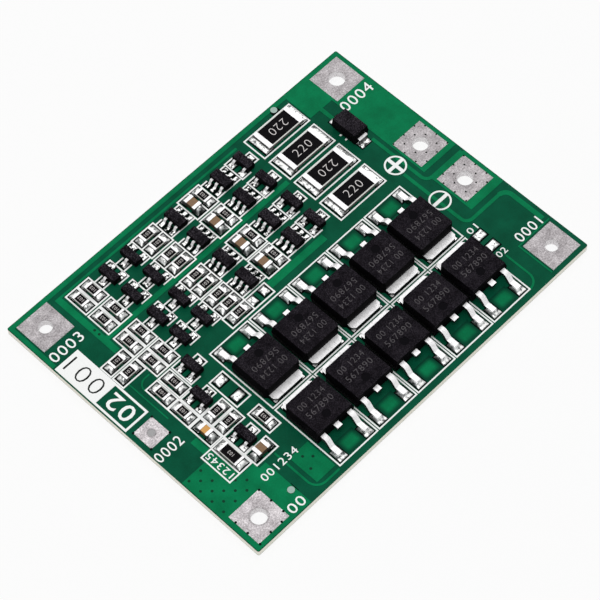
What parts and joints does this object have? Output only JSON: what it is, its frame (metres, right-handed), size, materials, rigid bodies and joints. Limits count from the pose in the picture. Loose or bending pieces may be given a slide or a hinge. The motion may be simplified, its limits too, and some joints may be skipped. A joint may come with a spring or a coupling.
{
  "type": "battery management board",
  "caption": "Green circuit board with two facing rows of power transistors, balancing resistor channels, small control parts and square solder terminals at both ends.",
  "frame": {"origin": "centre of the underside of the board, the face it rests on", "axes": "+X along the long side towards the pack terminals, +Y along the short side towards the first channel, +Z out of the component side"},
  "size_m": [0.06, 0.045, 0.0034],
  "materials": {
    "solder_mask": "semi-gloss green solder mask over the laminate",
    "masked_copper": "lighter green mask over copper, slightly raised",
    "legend_ink": "white printed legend",
    "tinned_copper": "bright levelled solder on copper",
    "terminal_tin": "matte grained tin finish",
    "moulded_epoxy": "fine grained black epoxy moulding",
    "lead_metal": "tin plated leads and end caps",
    "chip_ceramic": "white alumina",
    "brown_ceramic": "brown fired ceramic",
    "tan_ceramic": "tan fired ceramic",
    "resistor_glaze": "black resistor overcoat"
  },
  "bodies": {
    "root": {"circuit_board": "solder_mask", "copper_tracks": "masked_copper", "silkscreen": "legend_ink", "solder_pads": "tinned_copper", "terminal_cell_0": "terminal_tin", "terminal_cell_1": "terminal_tin", "terminal_cell_2": "terminal_tin", "terminal_cell_3": "terminal_tin", "terminal_cell_4": "terminal_tin", "terminal_pack_minus": "terminal_tin", "terminal_pack_plus": "terminal_tin", "power_mosfet_1": "moulded_epoxy", "power_mosfet_2": "moulded_epoxy", "power_mosfet_3": "moulded_epoxy", "power_mosfet_4": "moulded_epoxy", "power_mosfet_5": "moulded_epoxy", "power_mosfet_6": "moulded_epoxy", "power_mosfet_7": "moulded_epoxy", "power_mosfet_8": "moulded_epoxy", "power_mosfet_9": "moulded_epoxy", "power_mosfet_10": "moulded_epoxy", "mosfet_leadframe_1": "lead_metal", "mosfet_leadframe_2": "lead_metal", "mosfet_leadframe_3": "lead_metal", "mosfet_leadframe_4": "lead_metal", "mosfet_leadframe_5": "lead_metal", "mosfet_leadframe_6": "lead_metal", "mosfet_leadframe_7": "lead_metal", "mosfet_leadframe_8": "lead_metal", "mosfet_leadframe_9": "lead_metal", "mosfet_leadframe_10": "lead_metal", "balance_resistor_1": "chip_ceramic", "balance_resistor_2": "chip_ceramic", "balance_resistor_3": "chip_ceramic", "balance_resistor_4": "chip_ceramic", "balance_switch_1": "moulded_epoxy", "balance_switch_2": "moulded_epoxy", "balance_switch_3": "moulded_epoxy", "balance_switch_4": "moulded_epoxy", "cell_monitor_1": "moulded_epoxy", "cell_monitor_2": "moulded_epoxy", "cell_monitor_3": "moulded_epoxy", "cell_monitor_4": "moulded_epoxy", "balance_controller_1": "moulded_epoxy", "balance_controller_2": "moulded_epoxy", "balance_controller_3": "moulded_epoxy", "balance_controller_4": "moulded_epoxy", "balance_switch_leads": "lead_metal", "ic_leads": "lead_metal", "signal_transistors": "moulded_epoxy", "signal_transistor_leads": "lead_metal", "surge_diode": "moulded_epoxy", "surge_diode_leads": "lead_metal", "chip_resistors": "chip_ceramic", "chip_capacitors": "brown_ceramic", "timing_capacitor": "tan_ceramic", "sense_resistor": "chip_ceramic", "chip_end_caps": "lead_metal", "resistor_coats": "resistor_glaze"}
  },
  "joints": []
}
